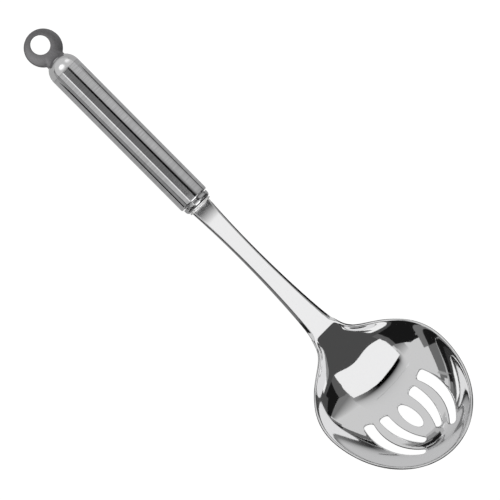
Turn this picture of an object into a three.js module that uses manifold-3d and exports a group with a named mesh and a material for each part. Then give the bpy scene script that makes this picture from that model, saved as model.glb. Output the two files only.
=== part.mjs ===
// Slotted serving spoon: a pressed bowl and neck held in a round tube handle with a hanging ring.
// Millimetres, +Z up, +X from the hanging ring to the tip of the bowl. The spoon lies on a table with
// its hollow side up: the tube and the bottom of the bowl both touch the plane Z = 0.
import * as THREE from 'three';
import { mergeVertices } from 'three/addons/utils/BufferGeometryUtils.js';
import Module from 'manifold-3d';

const wasm = await Module();
wasm.setup();

// Handle tube
const tubeDiameter = 18;
const tubeWall = 1;
const tubeLength = 96.1;
const tubeMouthBevelLength = 0.9;
const tubeMouthBevelDepth = 0.5;

// End cap with its slot for the ring
const capSpigotLength = 8;

// Hanging ring, a flat stamping with a square tang
const ringDiameter = 20.7;
const ringHoleDiameter = 10.6;
const ringHoleOffset = 2.2;
const ringThickness = 2;
const ringCentreFromNose = 7.7;
const ringTangWidth = 11.6;
const ringTangDepth = 6.7;
const ringBrazeLength = 1.2;

// Front ferrule
const ferruleDiameter = 16.1;
const ferruleLength = 3.4;
const ferruleCornerRadius = 2.1;
const ferruleSpigotLength = 12;
const grooveWidth = 0.5;
const grooveDepth = 0.9;

// Tang of the neck, and the compound that it is bedded in
const tangWidth = 8.4;
const tangReach = 34;
const beddingLength = 24;
const beddingEndWall = 4;

// Braze collar where the neck leaves the ferrule
const collarLeg = 0.7;

// Neck
const neckThickness = 3;
const neckWidthAtFerrule = 12;
const neckWaistWidth = 9.7;
const neckWaistFromFerrule = 35;
const neckWidthAtBowl = 15.1;
const neckLength = 93;

// Bowl, measured in the plane of its rim
const bowlWidestFromFerrule = 140;
const bowlBackLength = 36.2;
const bowlFrontLength = 49;
const bowlWidth = 79.9;
const bowlDepth = 19.5;
const bowlThickness = 1.4;
const wallFullness = 0.26;
const rimPitch = THREE.MathUtils.degToRad(25);
const bendLength = 16;
const eggBlend = 8;
const flareBlend = 4.7;
const rimSoftness = 0.8;
const undersideSoftness = 3;
const thinningStart = 15;
const thinningEnd = 15;

// Channel in which the bowl runs back into the neck, and the slide that leads down into it
const channelHalfWidth = 8.2;
const channelFlare = 14.8;
const channelShare = 0.25;
const channelBlend = 0.12;
const slidePitch = THREE.MathUtils.degToRad(19);

// Slots: an oval one in the middle and two curved pairs, placed from the widest line of the bowl
const centreSlot = { start: 5, end: 23.2, width: 7.1 };
const slotPairs = [
  { start: 3.4, end: 31.4, crest: 10.5, offset: 11, radius: 38, width: 5.6, tipWidth: 3.6 },
  { start: 1.1, end: 37.2, crest: 12.5, offset: 20.9, radius: 32, width: 5.6, tipWidth: 3.8 },
];
const slotStartLength = 1.6;

// Clearance left between pieces that are seated in each other
const fitGap = 0.2;

// How far a cutting tool runs past the faces that it cuts through
const overrun = 1;

// Facets
const roundFacets = 40;
const neckStations = 14;
const flareStations = 8;
const bowlStations = 34;
const acrossCells = 14;
const cornerSteps = 5;
const domeSteps = 8;
const slotSteps = 12;
const slotEndSteps = 6;

// Places that follow from the sizes, with X = 0 at the back end of the tube
const tubeRadius = tubeDiameter / 2;
const boreRadius = tubeRadius - tubeWall;
const spigotRadius = boreRadius - fitGap;
const capFace = -fitGap;
const capNose = capFace - tubeRadius;
const ringCentre = capNose - ringCentreFromNose;
const ringTangEnd = capNose + ringTangDepth;
const ferruleBack = tubeLength + grooveWidth;
const ferruleFront = ferruleBack + ferruleLength;
const spigotBack = tubeLength - ferruleSpigotLength;
const neckStart = ferruleFront + fitGap;
const waist = ferruleFront + neckWaistFromFerrule;
const flareStart = ferruleFront + neckLength;
const widest = ferruleFront + bowlWidestFromFerrule;
const bowlBack = widest - bowlBackLength;
const tableLevel = -tubeRadius;

const steel = (color, roughness) => new THREE.MeshStandardMaterial({ color, roughness, metalness: 1 });
const polishedSteel = () => steel(0xd4d6d8, 0.08);
const brushedSteel = () => steel(0xa9abad, 0.32);
const satinSteel = () => steel(0x77797b, 0.4);
const brazeMetal = () => steel(0xb8b4a8, 0.3);
const beddingCompound = () => new THREE.MeshStandardMaterial({ color: 0x55524d, roughness: 0.9 });

// A closed geometry as a manifold solid, and back
function solidOf(geometry) {
  const bare = geometry.index ? geometry.toNonIndexed() : geometry.clone();
  for (const name of ['normal', 'uv']) bare.deleteAttribute(name);
  const merged = mergeVertices(bare, 1e-4);
  const mesh = new wasm.Mesh({
    numProp: 3,
    vertProperties: new Float32Array(merged.attributes.position.array),
    triVerts: new Uint32Array(merged.index.array),
  });
  return new wasm.Manifold(mesh);
}

function geometryOf(solid) {
  const mesh = solid.getMesh();
  const geometry = new THREE.BufferGeometry();
  geometry.setAttribute('position', new THREE.BufferAttribute(new Float32Array(mesh.vertProperties), 3));
  geometry.setIndex(new THREE.BufferAttribute(new Uint32Array(mesh.triVerts), 1));
  geometry.computeVertexNormals();
  return geometry;
}

const cut = (geometry, ...tools) =>
  geometryOf(tools.reduce((solid, tool) => solid.subtract(solidOf(tool)), solidOf(geometry)));
const join = (geometry, other) => geometryOf(solidOf(geometry).add(solidOf(other)));

// A piece turned about the X axis from [x, radius] points, listed from the back along the outside
function turned(points) {
  const profile = points.map(([x, radius]) => new THREE.Vector2(radius, x));
  return new THREE.LatheGeometry(profile, roundFacets).rotateZ(-Math.PI / 2);
}

// A box between two X stations, centred on the X axis
function block(from, to, width, height) {
  return new THREE.BoxGeometry(to - from, width, height).translate((from + to) / 2, 0, 0);
}

// Points of a quarter arc in [x, radius] terms
function arcPoints(centreX, centreRadius, radius, fromAngle, toAngle, steps) {
  return Array.from({ length: steps + 1 }, (_, i) => {
    const angle = fromAngle + ((toAngle - fromAngle) * i) / steps;
    return [centreX + radius * Math.cos(angle), centreRadius + radius * Math.sin(angle)];
  });
}

function handleTube() {
  return turned([
    [0, boreRadius],
    [0, tubeRadius],
    [tubeLength - tubeMouthBevelLength, tubeRadius],
    [tubeLength, tubeRadius - tubeMouthBevelDepth],
    [tubeLength, boreRadius],
    [0, boreRadius],
  ]);
}

function endCap() {
  const dome = arcPoints(capFace, 0, tubeRadius, Math.PI, Math.PI / 2, domeSteps);
  const body = turned([
    [capNose, 0],
    ...dome.slice(1),
    [capFace, spigotRadius],
    [capSpigotLength, spigotRadius],
    [capSpigotLength, 0],
  ]);
  const slotEnd = ringTangEnd + ringBrazeLength + 2 * fitGap;
  const slot = block(capNose - overrun, slotEnd, ringTangWidth + 2 * fitGap, ringThickness + 2 * fitGap);
  return cut(body, slot);
}

function hangingRing() {
  const radius = ringDiameter / 2;
  const half = ringTangWidth / 2;
  const shoulder = Math.asin(half / radius);
  const outline = new THREE.Shape();
  outline.moveTo(ringTangEnd, -half);
  outline.lineTo(ringTangEnd, half);
  outline.lineTo(ringCentre + radius * Math.cos(shoulder), half);
  outline.absarc(ringCentre, 0, radius, shoulder, 2 * Math.PI - shoulder, false);
  outline.closePath();
  const hole = new THREE.Path();
  hole.absarc(ringCentre - ringHoleOffset, 0, ringHoleDiameter / 2, 0, 2 * Math.PI, true);
  outline.holes.push(hole);
  const plate = { depth: ringThickness, bevelEnabled: false, curveSegments: roundFacets };
  return new THREE.ExtrudeGeometry(outline, plate).translate(0, 0, -ringThickness / 2);
}

function ringBraze() {
  const from = ringTangEnd + fitGap;
  return block(from, from + ringBrazeLength, ringTangWidth, ringThickness);
}

function frontFerrule() {
  const radius = ferruleDiameter / 2;
  const corner = Math.min(ferruleCornerRadius, ferruleLength, radius);
  const grooveRadius = Math.min(radius, spigotRadius) - grooveDepth;
  const body = turned([
    [spigotBack, 0],
    [spigotBack, spigotRadius],
    [tubeLength, spigotRadius],
    [tubeLength, grooveRadius],
    [ferruleBack, grooveRadius],
    [ferruleBack, radius],
    ...arcPoints(ferruleFront - corner, radius - corner, corner, Math.PI / 2, 0, cornerSteps),
    [ferruleFront, 0],
  ]);
  return cut(body, tangSlot(spigotBack, ferruleFront));
}

// The slot that the tang passes through, run past both ends of the piece it is cut in
function tangSlot(from, to) {
  return block(from - overrun, to + overrun, tangWidth + 2 * fitGap, neckThickness + 2 * fitGap);
}

function tangBedding() {
  const front = spigotBack - fitGap;
  const back = Math.min(front - beddingLength, ferruleFront - tangReach - beddingEndWall);
  const body = turned([
    [back, 0],
    [back, spigotRadius],
    [front, spigotRadius],
    [front, 0],
  ]);
  const slotBack = ferruleFront - tangReach - fitGap;
  return cut(body, block(slotBack, front + overrun, tangWidth + 2 * fitGap, neckThickness + 2 * fitGap));
}

function neckCollar() {
  const inner = new THREE.Vector2(neckWidthAtFerrule / 2 + fitGap, neckThickness / 2 + fitGap);
  const outer = inner.clone().addScalar(collarLeg);
  const rectangle = (path, { x, y }) => {
    path.moveTo(-x, -y);
    path.lineTo(x, -y);
    path.lineTo(x, y);
    path.lineTo(-x, y);
    path.closePath();
    return path;
  };
  const frame = rectangle(new THREE.Shape(), outer);
  frame.holes.push(rectangle(new THREE.Path(), inner));
  const collar = new THREE.ExtrudeGeometry(frame, { depth: collarLeg, bevelEnabled: false });
  // Drawing plane XY becomes the spoon's YZ, and the extrusion runs along X
  const turn = new THREE.Matrix4().makeBasis(
    new THREE.Vector3(0, 1, 0),
    new THREE.Vector3(0, 0, 1),
    new THREE.Vector3(1, 0, 0),
  );
  return collar.applyMatrix4(turn).translate(neckStart, 0, 0);
}

// Shape of the pressed blank. A place on it is (along, across): along is measured on the sheet's
// centre line, straight down the neck and then up the pitch of the rim.
const sigmoid = (t) => 1 / (1 + Math.exp(-t));
// The larger of two values, turning softly from one to the other
const softLarger = (a, b, blend) => Math.max(a, b) + blend * Math.log1p(Math.exp(-Math.abs(a - b) / blend));

function neckHalfWidth(along) {
  const towardsFerrule = along < waist;
  const reach = towardsFerrule ? waist - neckStart : flareStart - waist;
  const endWidth = towardsFerrule ? neckWidthAtFerrule : neckWidthAtBowl;
  const share = Math.min((along - waist) / reach, 1.2);
  return (neckWaistWidth + (endWidth - neckWaistWidth) * share * share) / 2;
}

// Place along the bowl: 0 at its widest line and 1 at either end, with a longer front half than back half
function bowlShare(along) {
  const reach = bowlBackLength + (bowlFrontLength - bowlBackLength) * sigmoid((along - widest) / eggBlend);
  return (along - widest) / reach;
}

// Positive inside the blank's outline: the neck and the bowl run into each other in a soft flare
function insideBlank(along, across) {
  const bowl = (bowlWidth / 2) * (1 - Math.hypot(bowlShare(along), across / (bowlWidth / 2)));
  if (along > widest) return bowl;
  return softLarger(bowl, neckHalfWidth(along) - across, flareBlend);
}

function blankHalfWidth(along) {
  let low = 0;
  let high = bowlWidth;
  for (let i = 0; i < 50; i += 1) {
    const middle = (low + high) / 2;
    if (insideBlank(along, middle) > 0) low = middle;
    else high = middle;
  }
  return low;
}

// Where the centre line of the blank runs, and how steeply, for a bend centred at bendAt
function centreLine(along, bendAt) {
  const bent = THREE.MathUtils.clamp((along - bendAt) / bendLength + 0.5, 0, 1);
  const straight = Math.max(along - bendAt - bendLength / 2, 0);
  const angle = bent * rimPitch;
  const bendRadius = bendLength / rimPitch;
  return {
    x: Math.min(along, bendAt - bendLength / 2) + bendRadius * Math.sin(angle) + straight * Math.cos(rimPitch),
    z: neckThickness / 2 + bendRadius * (1 - Math.cos(angle)) + straight * Math.sin(rimPitch),
    angle,
  };
}

// Depth of the dish below the blank: an oval that runs back towards the neck as a channel
function dishDepth(along, across) {
  const oval = 1 - bowlShare(along) ** 2;
  const halfSquare = (bowlWidth / 2) ** 2;
  let middle = oval;
  let fall = 1 / halfSquare;
  if (along < widest) {
    middle = softLarger(oval, channelShare, channelBlend);
    fall = middle / softLarger(oval * halfSquare, channelHalfWidth ** 2, channelFlare ** 2);
  }
  const inside = middle - fall * across ** 2;
  return bowlDepth * inside * (1 + wallFullness * (1 - inside));
}

// Depth of the slide below the blank: none on the neck, then a straight slope from the end of the neck
function slideDepth(line) {
  const slope = Math.tan(slidePitch);
  const drop = line.z - neckThickness / 2 + slope * (line.x - flareStart);
  return drop / (Math.cos(line.angle) - slope * Math.sin(line.angle));
}

// Depth of the pressing below the flat blank: the shallower of the dish and the slide
function pressedDepth(along, across, line, softness) {
  const dish = softLarger(dishDepth(along, across), 0, softness) + Math.max(flareStart - along, 0);
  const slide = softLarger(slideDepth(line), 0, 0.3 * softness);
  return -softLarger(-dish, -slide, softness);
}

function topPoint(along, across, bendAt, softness = rimSoftness) {
  const line = centreLine(along, bendAt);
  const depth = pressedDepth(along, across, line, softness);
  return new THREE.Vector3(
    line.x + depth * Math.sin(line.angle),
    across,
    line.z - depth * Math.cos(line.angle),
  );
}

const sheetThickness = (along) =>
  THREE.MathUtils.lerp(
    neckThickness,
    bowlThickness,
    THREE.MathUtils.smoothstep(along, bowlBack - thinningStart, bowlBack + thinningEnd),
  );

// The underside is the top moved by the sheet's thickness, square to a softened form of it
function bottomPoint(along, across, bendAt) {
  const step = 0.02;
  const at = (a, b) => topPoint(a, b, bendAt, undersideSoftness);
  const lengthwise = at(along + step, across).sub(at(along - step, across));
  const crosswise = at(along, across + step).sub(at(along, across - step));
  const normal = lengthwise.cross(crosswise).normalize();
  return topPoint(along, across, bendAt).addScaledVector(normal, -sheetThickness(along));
}

// The bend is placed so that the bottom of the bowl is level with the underside of the tube
function levelBend() {
  const lowest = (bendAt) => {
    let low = Infinity;
    for (let share = -0.5; share <= 0.5; share += 0.02) {
      low = Math.min(low, bottomPoint(widest + share * bowlBackLength, 0, bendAt).z);
    }
    return low;
  };
  let early = bowlBack - bowlBackLength;
  let late = widest;
  for (let i = 0; i < 40; i += 1) {
    const middle = (early + late) / 2;
    if (lowest(middle) > tableLevel) early = middle;
    else late = middle;
  }
  return (early + late) / 2;
}

const bend = levelBend();

// Stations along the blank: even down the neck and through the flare, then closing in towards the tip
function stations() {
  const even = (from, to, count) => Array.from({ length: count }, (_, i) => from + ((to - from) * i) / count);
  const neck = even(neckStart, flareStart, neckStations);
  const flare = even(flareStart, bowlBack, flareStations);
  const bowl = Array.from({ length: bowlStations }, (_, i) => {
    const middle = (bowlFrontLength - bowlBackLength) / 2;
    const reach = (bowlFrontLength + bowlBackLength) / 2;
    const angle = -Math.PI / 2 + (Math.PI * i) / bowlStations;
    return widest + middle + reach * Math.sin(angle);
  });
  return [...neck, ...flare, ...bowl];
}

// Closed sheet between the top and the underside, ending in one point at the tip
function pressedSheet() {
  const rows = stations();
  const tip = widest + bowlFrontLength;
  const across = Array.from({ length: acrossCells + 1 }, (_, j) =>
    Math.sin((Math.PI / 2) * ((2 * j) / acrossCells - 1)),
  );
  const points = [];
  for (const place of [topPoint, bottomPoint]) {
    for (const along of rows) {
      const half = blankHalfWidth(along);
      for (const share of across) points.push(place(along, share * half, bend));
    }
    points.push(place(tip, 0, bend));
  }
  const width = across.length;
  const sideSize = rows.length * width + 1;
  const at = (side, i, j) => side * sideSize + (i < rows.length ? i * width + j : rows.length * width);
  const index = [];
  const quad = (a, b, c, d) => {
    if (a !== b) index.push(a, b, c);
    if (c !== d) index.push(a, c, d);
  };
  for (let i = 0; i < rows.length; i += 1) {
    for (let j = 0; j < acrossCells; j += 1) {
      quad(at(0, i, j), at(0, i + 1, j), at(0, i + 1, j + 1), at(0, i, j + 1));
      quad(at(1, i, j + 1), at(1, i + 1, j + 1), at(1, i + 1, j), at(1, i, j));
    }
    quad(at(0, i, 0), at(1, i, 0), at(1, i + 1, 0), at(0, i + 1, 0));
    quad(at(0, i + 1, acrossCells), at(1, i + 1, acrossCells), at(1, i, acrossCells), at(0, i, acrossCells));
  }
  for (let j = 0; j < acrossCells; j += 1) {
    quad(at(0, 0, j), at(0, 0, j + 1), at(1, 0, j + 1), at(1, 0, j));
  }
  const geometry = new THREE.BufferGeometry().setFromPoints(points);
  geometry.setIndex(index);
  return geometry;
}

// An oval slot, drawn in the plane of the rim
function ovalSlotOutline({ start, end, width }) {
  const oval = new THREE.EllipseCurve((start + end) / 2, 0, (end - start) / 2, width / 2);
  return new THREE.Shape(oval.getPoints(2 * slotSteps).slice(1));
}

// A slot along an arc, narrower towards the tip, with a blunt start and a round end
function curvedSlotOutline({ start, end, crest, offset, radius, width, tipWidth }, side) {
  const angleAt = (along) => Math.asin((along - crest) / radius);
  const from = angleAt(start + slotStartLength);
  const to = angleAt(end - tipWidth / 2);
  const centre = offset - radius;
  const spot = (angle, out) =>
    new THREE.Vector2(crest + (radius + out) * Math.sin(angle), centre + (radius + out) * Math.cos(angle));
  const halfAt = (share) => THREE.MathUtils.lerp(width, tipWidth, share * share) / 2;
  const points = [];
  for (let i = 0; i <= slotSteps; i += 1) {
    points.push(spot(from + ((to - from) * i) / slotSteps, halfAt(i / slotSteps)));
  }
  points.push(...roundEnd(spot(to, 0), to, tipWidth / 2, tipWidth / 2));
  for (let i = slotSteps; i >= 0; i -= 1) {
    points.push(spot(from + ((to - from) * i) / slotSteps, -halfAt(i / slotSteps)));
  }
  points.push(...roundEnd(spot(from, 0), from, -width / 2, -slotStartLength));
  return new THREE.Shape(points.map(({ x, y }) => new THREE.Vector2(x, side * y)));
}

// Points of a half oval at a slot's end, without its two corners
function roundEnd(centre, angle, half, length) {
  return Array.from({ length: slotEndSteps - 1 }, (_, i) => {
    const around = (Math.PI * (i + 1)) / slotEndSteps;
    const out = half * Math.cos(around);
    const on = length * Math.sin(around);
    const along = on * Math.cos(angle) + out * Math.sin(angle);
    const across = out * Math.cos(angle) - on * Math.sin(angle);
    return new THREE.Vector2(centre.x + along, centre.y + across);
  });
}

// Punches for the slots, square to the plane of the rim
function slotPunches() {
  const outlines = [
    ovalSlotOutline(centreSlot),
    ...slotPairs.flatMap((pair) => [curvedSlotOutline(pair, 1), curvedSlotOutline(pair, -1)]),
  ];
  const line = centreLine(widest, bend);
  const place = new THREE.Matrix4().makeBasis(
    new THREE.Vector3(Math.cos(rimPitch), 0, Math.sin(rimPitch)),
    new THREE.Vector3(0, 1, 0),
    new THREE.Vector3(-Math.sin(rimPitch), 0, Math.cos(rimPitch)),
  );
  place.setPosition(line.x, 0, line.z);
  const punch = { depth: 2 * bowlDepth, bevelEnabled: false, curveSegments: slotEndSteps };
  return outlines.map((outline) =>
    new THREE.ExtrudeGeometry(outline, punch).translate(0, 0, -1.5 * bowlDepth).applyMatrix4(place),
  );
}

function bowlAndNeck() {
  const tang = block(ferruleFront - tangReach, neckStart + neckThickness, tangWidth, neckThickness);
  return cut(join(pressedSheet(), tang), ...slotPunches());
}

function piece(name, geometry, material) {
  const mesh = new THREE.Mesh(geometry, material);
  mesh.name = name;
  return mesh;
}

const handle = new THREE.Group();
handle.add(
  piece('handle_tube', handleTube(), brushedSteel()),
  piece('end_cap', endCap(), polishedSteel()),
  piece('hanging_ring', hangingRing(), satinSteel()),
  piece('ring_braze', ringBraze(), brazeMetal()),
  piece('front_ferrule', frontFerrule(), polishedSteel()),
  piece('tang_bedding', tangBedding(), beddingCompound()),
);

const head = new THREE.Group();
head.add(
  piece('bowl_and_neck', bowlAndNeck(), polishedSteel()),
  piece('neck_braze', neckCollar(), brazeMetal()),
);

// Origin at the middle of the spoon's length and width, on the table
const spoon = new THREE.Group();
spoon.add(handle, head);
const box = new THREE.Box3().setFromObject(spoon);
const middle = box.getCenter(new THREE.Vector3());
spoon.position.set(-middle.x, -middle.y, -box.min.z);

export default spoon;
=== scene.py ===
import math
from functools import partialmethod

import bmesh
import bpy
from mathutils import Matrix, Vector
from mathutils.geometry import delaunay_2d_cdt
from mathutils.kdtree import KDTree


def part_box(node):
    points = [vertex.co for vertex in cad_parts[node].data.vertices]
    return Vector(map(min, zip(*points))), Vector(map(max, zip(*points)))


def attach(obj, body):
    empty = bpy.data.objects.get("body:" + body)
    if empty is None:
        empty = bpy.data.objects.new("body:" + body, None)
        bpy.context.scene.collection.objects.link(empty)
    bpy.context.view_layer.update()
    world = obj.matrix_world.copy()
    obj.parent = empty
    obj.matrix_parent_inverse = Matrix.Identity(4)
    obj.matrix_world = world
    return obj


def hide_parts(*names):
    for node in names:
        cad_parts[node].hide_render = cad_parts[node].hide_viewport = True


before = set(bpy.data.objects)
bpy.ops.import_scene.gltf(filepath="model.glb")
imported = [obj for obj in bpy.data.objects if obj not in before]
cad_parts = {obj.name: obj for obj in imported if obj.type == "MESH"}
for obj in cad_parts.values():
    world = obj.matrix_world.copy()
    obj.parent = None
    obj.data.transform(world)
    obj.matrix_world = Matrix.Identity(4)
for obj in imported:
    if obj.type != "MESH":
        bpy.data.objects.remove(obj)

scene = bpy.context.scene
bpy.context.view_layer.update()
mm = 0.001

# Places read from the frame: lengths along the spoon are counted from the back end of the tube
tubeLow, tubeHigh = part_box("handle_tube")
tubeBack = tubeLow.x
tubeFront = tubeHigh.x
tubeRadius = (tubeHigh.z - tubeLow.z) / 2
axisHeight = (tubeHigh.z + tubeLow.z) / 2
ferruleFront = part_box("front_ferrule")[1].x
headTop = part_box("bowl_and_neck")[1].z
brazeLow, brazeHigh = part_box("neck_braze")
print("frame read: tube", round(tubeFront - tubeBack, 4), "m long, axis at", round(axisHeight, 4))


# Small helpers for node trees
def feed(tree, socket, value):
    # links an output or a term to the socket, or sets a constant on it
    source = value.socket if isinstance(value, term) else value
    if isinstance(source, bpy.types.NodeSocket):
        tree.links.new(source, socket)
    else:
        socket.default_value = source


def nodeIn(tree, kind, feeds=None, **settings):
    node = tree.nodes.new(kind)
    for name, value in settings.items():
        setattr(node, name, value)
    for name, value in (feeds or {}).items():
        feed(tree, node.inputs[name], value)
    return node


def outOf(tree, kind, feeds=None, **settings):
    return nodeIn(tree, kind, feeds, **settings).outputs[0]


class term:  # a value inside a node tree, so that a formula reads as a formula
    def __init__(self, tree, socket):
        self.tree = tree
        self.socket = socket

    def calc(self, operation, *values):
        feeds = dict(enumerate(values))
        return term(self.tree, outOf(self.tree, "ShaderNodeMath", feeds, operation=operation))

    def done(self, operation, *others):
        return self.calc(operation, self, *others)

    def after(self, operation, first):
        return self.calc(operation, first, self)

    def clamped(self):
        return self.done("MAXIMUM", 0.0).done("MINIMUM", 1.0)


# a term can be written on either side of a sign
for sign, operation in (("add", "ADD"), ("sub", "SUBTRACT"), ("mul", "MULTIPLY"), ("truediv", "DIVIDE")):
    setattr(term, f"__{sign}__", partialmethod(term.done, operation))
    setattr(term, f"__r{sign}__", partialmethod(term.after, operation))


def sigmoidOf(value):
    return 1.0 / (1.0 + (value * -1.0).done("EXPONENT"))


def softLarger(a, b, blend):
    # the larger of two numbers, rounded off where they are alike
    apart = ((a - b).done("ABSOLUTE") / blend * -1.0).done("EXPONENT")
    return a.done("MAXIMUM", b) + blend * (1.0 + apart).done("LOGARITHM", math.e)


def vectorMath(tree, operation, *values):
    return outOf(tree, "ShaderNodeVectorMath", dict(enumerate(values)), operation=operation)


def scaled(tree, vector, scale):
    return outOf(tree, "ShaderNodeVectorMath", {0: vector, "Scale": scale}, operation="SCALE")


def partsOf(tree, vector):
    split = nodeIn(tree, "ShaderNodeSeparateXYZ", {0: vector})
    return [term(tree, part) for part in split.outputs]


def placeIn(tree):
    return nodeIn(tree, "ShaderNodeTexCoord").outputs["Object"]


def newGroup(name, kind, inputs, outputs):
    # a group with its inputs as terms by name, and the sockets of its outputs
    tree = bpy.data.node_groups.new(name, kind)
    for way, sockets in (("INPUT", inputs), ("OUTPUT", outputs)):
        for label, sort in sockets.items():
            tree.interface.new_socket(label, in_out=way, socket_type="NodeSocket" + sort)
    source = nodeIn(tree, "NodeGroupInput")
    given = {label: term(tree, source.outputs[label]) for label in inputs}
    return tree, given, nodeIn(tree, "NodeGroupOutput").inputs


def geometryTree(name, inputs):
    return newGroup(name, "GeometryNodeTree", {"Geometry": "Geometry", **inputs, "Material": "Material"},
                    {"Geometry": "Geometry"})


def endTree(tree, source, given, result):
    # every tree ends alike: smooth faces, real geometry, its material
    smooth = outOf(tree, "GeometryNodeSetShadeSmooth", {"Geometry": source})
    real = outOf(tree, "GeometryNodeRealizeInstances", {0: smooth})
    feed(tree, result[0], outOf(tree, "GeometryNodeSetMaterial",
                                {"Geometry": real, "Material": given["Material"]}))
    return tree


def weldedIn(tree, source):
    return outOf(tree, "GeometryNodeMergeByDistance", {"Geometry": source, "Distance": 0.001 * mm})


def newObject(name, points, faces=()):
    mesh = bpy.data.meshes.new(name)
    mesh.from_pydata(points, (), faces)
    obj = bpy.data.objects.new(name, mesh)
    scene.collection.objects.link(obj)
    return obj


def runTree(obj, tree, values):
    modifier = obj.modifiers.new(tree.name, "NODES")
    modifier.node_group = tree
    for item in tree.interface.items_tree:
        if item.item_type == "SOCKET" and item.in_out == "INPUT" and item.name in values:
            modifier[item.identifier] = values[item.name]


def makePlain(obj, sharpAngle, recalc=True):
    # turns whatever the modifiers give into the object's own mesh
    tiny = 0.0001 * mm
    bpy.context.view_layer.update()
    graph = bpy.context.evaluated_depsgraph_get()
    mesh = bpy.data.meshes.new_from_object(obj.evaluated_get(graph), depsgraph=graph)
    obj.modifiers.clear()
    obj.data = mesh
    work = bmesh.new()
    work.from_mesh(mesh)
    bmesh.ops.remove_doubles(work, verts=work.verts, dist=tiny)
    bmesh.ops.dissolve_degenerate(work, dist=tiny, edges=work.edges)
    if recalc:
        bmesh.ops.recalc_face_normals(work, faces=work.faces)
    for face in work.faces:
        face.smooth = True
    work.to_mesh(mesh)
    work.free()
    mesh.set_sharp_from_angle(angle=math.radians(sharpAngle))


def finishPiece(piece, node, material):
    piece.data.materials.clear()
    piece.data.materials.append(material)
    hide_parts(node)
    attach(piece, "root")
    print("piece done:", piece.name, len(piece.data.polygons), "faces")


# Finishes
finishes = {
    "polishedSteel": {"tone": (0.86, 0.86, 0.865), "rough": 0.045, "stretch": (900, 900, 900),
                      "toneSpread": 0.02, "roughSpread": 0.03, "bump": 0.0},
    "turnedSteel": {"tone": (0.74, 0.74, 0.745), "rough": 0.09, "stretch": (5000, 60, 60),
                    "toneSpread": 0.05, "roughSpread": 0.05, "bump": 0.02},
    "plugSteel": {"tone": (0.52, 0.52, 0.525), "rough": 0.08, "stretch": (5000, 60, 60),
                  "toneSpread": 0.05, "roughSpread": 0.05, "bump": 0.02},
    "brushedSteel": {"tone": (0.6, 0.6, 0.607), "rough": 0.065, "stretch": (1400, 40, 40),
                     "toneSpread": 0.3, "roughSpread": 0.03, "bump": 0.0},
    "satinSteel": {"tone": (0.185, 0.182, 0.187), "rough": 0.36, "stretch": (700, 2400, 2400),
                   "toneSpread": 0.5, "roughSpread": 0.1, "bump": 0.06},
    "brazeMetal": {"tone": (0.72, 0.715, 0.7), "rough": 0.16, "stretch": (1500, 1500, 1500),
                   "toneSpread": 0.08, "roughSpread": 0.08, "bump": 0.04},
}
grainLook = {"detail": 3.0, "fineSwing": 1.6, "cloudScale": 60.0, "cloudSwing": 0.4, "bumpHeight": 0.1 * mm}
resinLook = {"dark": (0.14, 0.13, 0.12, 1), "pale": (0.26, 0.25, 0.235, 1), "fillerScale": 900.0,
             "rough": 0.85}


def steelGrainGroup():
    # grain of a metal finish: noise drawn out along the working direction
    group, given, result = newGroup(
        "steelGrain", "ShaderNodeTree",
        {"Stretch": "Vector", "Tone": "Color", "Tone Spread": "Float", "Roughness": "Float",
         "Roughness Spread": "Float"},
        {"Color": "Color", "Roughness": "Float", "Height": "Float"})
    place = placeIn(group)
    drawn = vectorMath(group, "MULTIPLY", place, given["Stretch"])
    grain = outOf(group, "ShaderNodeTexNoise", {"Vector": drawn, "Scale": 1.0, "Detail": grainLook["detail"]})
    cloud = outOf(group, "ShaderNodeTexNoise", {"Vector": place, "Scale": grainLook["cloudScale"]})
    swing = (term(group, grain) - 0.5) * grainLook["fineSwing"]
    swing = swing + (term(group, cloud) - 0.5) * grainLook["cloudSwing"]
    rough = given["Roughness"] + swing * given["Roughness Spread"]
    feed(group, result["Color"], scaled(group, given["Tone"], 1.0 + swing * given["Tone Spread"]))
    feed(group, result["Roughness"], rough.done("MAXIMUM", 0.0))
    feed(group, result["Height"], grain)
    return group


steelGrain = steelGrainGroup()


def newMaterial(name):
    material = bpy.data.materials.new(name)
    material.use_nodes = True
    return material, material.node_tree


def steelMaterial(name, anisotropy=0.0):
    values = finishes[name]
    material, tree = newMaterial(name)
    shader = tree.nodes["Principled BSDF"].inputs
    shader["Metallic"].default_value = 1.0
    grain = nodeIn(tree, "ShaderNodeGroup", {
        "Stretch": values["stretch"], "Tone": (*values["tone"], 1.0), "Tone Spread": values["toneSpread"],
        "Roughness": values["rough"], "Roughness Spread": values["roughSpread"]}, node_tree=steelGrain)
    feed(tree, shader["Base Color"], grain.outputs["Color"])
    feed(tree, shader["Roughness"], grain.outputs["Roughness"])
    if values["bump"]:
        feed(tree, shader["Normal"], outOf(tree, "ShaderNodeBump", {
            "Strength": values["bump"], "Distance": grainLook["bumpHeight"],
            "Height": grain.outputs["Height"]}))
    if anisotropy:
        # grain runs round the axis, so highlights are drawn out along it
        quarterTurn = 0.25
        shader["Anisotropic"].default_value = anisotropy
        shader["Anisotropic Rotation"].default_value = quarterTurn
        feed(tree, shader["Tangent"], outOf(tree, "ShaderNodeTangent", direction_type="RADIAL", axis="X"))
    return material


def resinMaterial():
    material, tree = newMaterial("beddingResin")
    shader = tree.nodes["Principled BSDF"].inputs
    filler = outOf(tree, "ShaderNodeTexNoise", {"Vector": placeIn(tree), "Scale": resinLook["fillerScale"]})
    ramp = nodeIn(tree, "ShaderNodeValToRGB", {0: filler})
    ramp.color_ramp.elements[0].color = resinLook["dark"]
    ramp.color_ramp.elements[1].color = resinLook["pale"]
    feed(tree, shader["Base Color"], ramp.outputs[0])
    shader["Roughness"].default_value = resinLook["rough"]
    return material


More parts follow.
